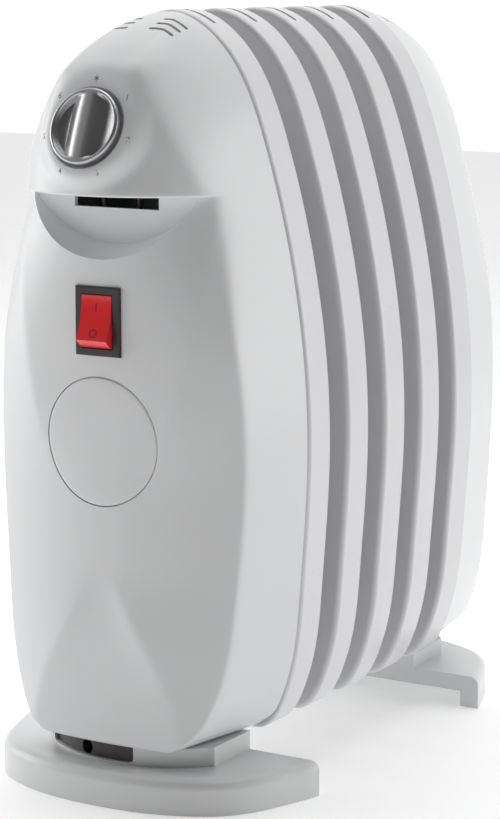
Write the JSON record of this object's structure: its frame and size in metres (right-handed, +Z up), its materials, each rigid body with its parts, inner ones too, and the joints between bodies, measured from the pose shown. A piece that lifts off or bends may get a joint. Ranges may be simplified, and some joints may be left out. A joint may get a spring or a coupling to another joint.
{
  "type": "oil filled radiator heater",
  "caption": "Small free-standing oil filled radiator: finned steel body between white covers, dial and rocker switch, D-shaped feet.",
  "frame": {"origin": "on the floor under the middle of the object", "axes": "+Z up, -Y towards the control side, +X to the right seen from the front"},
  "size_m": [0.176, 0.326, 0.38],
  "materials": {
    "white_cover": "moulded white, satin gloss",
    "white_foot": "moulded white, satin",
    "fin_paint": "white powder coat, satin",
    "silver_knob": "silver lacquered plastic",
    "red_rocker": "translucent red, glossy",
    "black_plastic": "moulded black, fine texture",
    "block_plastic": "moulded, matt",
    "zinc_steel": "zinc plated",
    "brass": "rolled strip",
    "red_gasket": "moulded seal",
    "lamp_glass": "clear glass",
    "wire_brown": "insulated wire",
    "wire_blue": "insulated wire",
    "wire_green": "insulated wire"
  },
  "bodies": {
    "heater": {"bimetal_strip": "brass", "clamp_screws": "zinc_steel", "cord_clamp": "black_plastic", "cord_gland": "black_plastic", "cutout_clip": "zinc_steel", "earth_screw": "zinc_steel", "element_gasket": "red_gasket", "element_plug": "zinc_steel", "element_terminals": "zinc_steel", "filler_plug": "zinc_steel", "fin_1_front_sheet": "fin_paint", "fin_1_rear_sheet": "fin_paint", "fin_2_front_sheet": "fin_paint", "fin_2_rear_sheet": "fin_paint", "fin_3_front_sheet": "fin_paint", "fin_3_rear_sheet": "fin_paint", "fin_4_front_sheet": "fin_paint", "fin_4_rear_sheet": "fin_paint", "fin_5_front_sheet": "fin_paint", "fin_5_rear_sheet": "fin_paint", "front_bracket": "zinc_steel", "front_cover": "white_cover", "front_foot": "white_foot", "front_foot_screws": "zinc_steel", "front_stud_nuts": "zinc_steel", "front_studs": "zinc_steel", "heating_element": "zinc_steel", "rear_bracket": "zinc_steel", "rear_cover": "white_cover", "rear_foot": "white_foot", "rear_foot_screws": "zinc_steel", "rear_stud_nuts": "zinc_steel", "rear_studs": "zinc_steel", "round_cap": "white_cover", "switch_housing": "black_plastic", "switch_terminals": "brass", "terminal_block": "block_plastic", "terminal_screws": "zinc_steel", "thermal_cutout": "zinc_steel", "thermostat_body": "block_plastic", "thermostat_nut": "zinc_steel", "thermostat_screws": "zinc_steel", "thermostat_terminals": "brass", "wire_cutout_to_element": "wire_brown", "wire_earth": "wire_green", "wire_live": "wire_brown", "wire_neutral": "wire_blue", "wire_switch_to_thermostat": "wire_brown", "wire_thermostat_to_cutout": "wire_brown"},
    "knob": {"control_knob": "silver_knob", "thermostat_spindle": "zinc_steel"},
    "rocker": {"rocker": "red_rocker", "rocker_plunger": "black_plastic", "plunger_spring": "zinc_steel", "neon_lamp": "lamp_glass"},
    "contact_lever": {"contact_lever": "brass"}
  },
  "joints": [
    {"name": "knob_turn", "type": "hinge", "parent": "heater", "child": "knob", "pos_m": [0, -0.1531, 0.3267], "axis": [0, 0.9272, -0.3746], "range_deg": [0, 309]},
    {"name": "rocker_tilt", "type": "hinge", "parent": "heater", "child": "rocker", "pos_m": [0, -0.14031, 0.235], "axis": [1, 0, 0], "range_deg": [0, 26]},
    {"name": "contact_tilt", "type": "hinge", "parent": "heater", "child": "contact_lever", "pos_m": [0, -0.13071, 0.235], "axis": [1, 0, 0], "range_deg": [-16, 0]}
  ],
  "couplings": [
    {"joint": "contact_tilt", "follows": "rocker_tilt", "ratio": -0.61538}
  ]
}
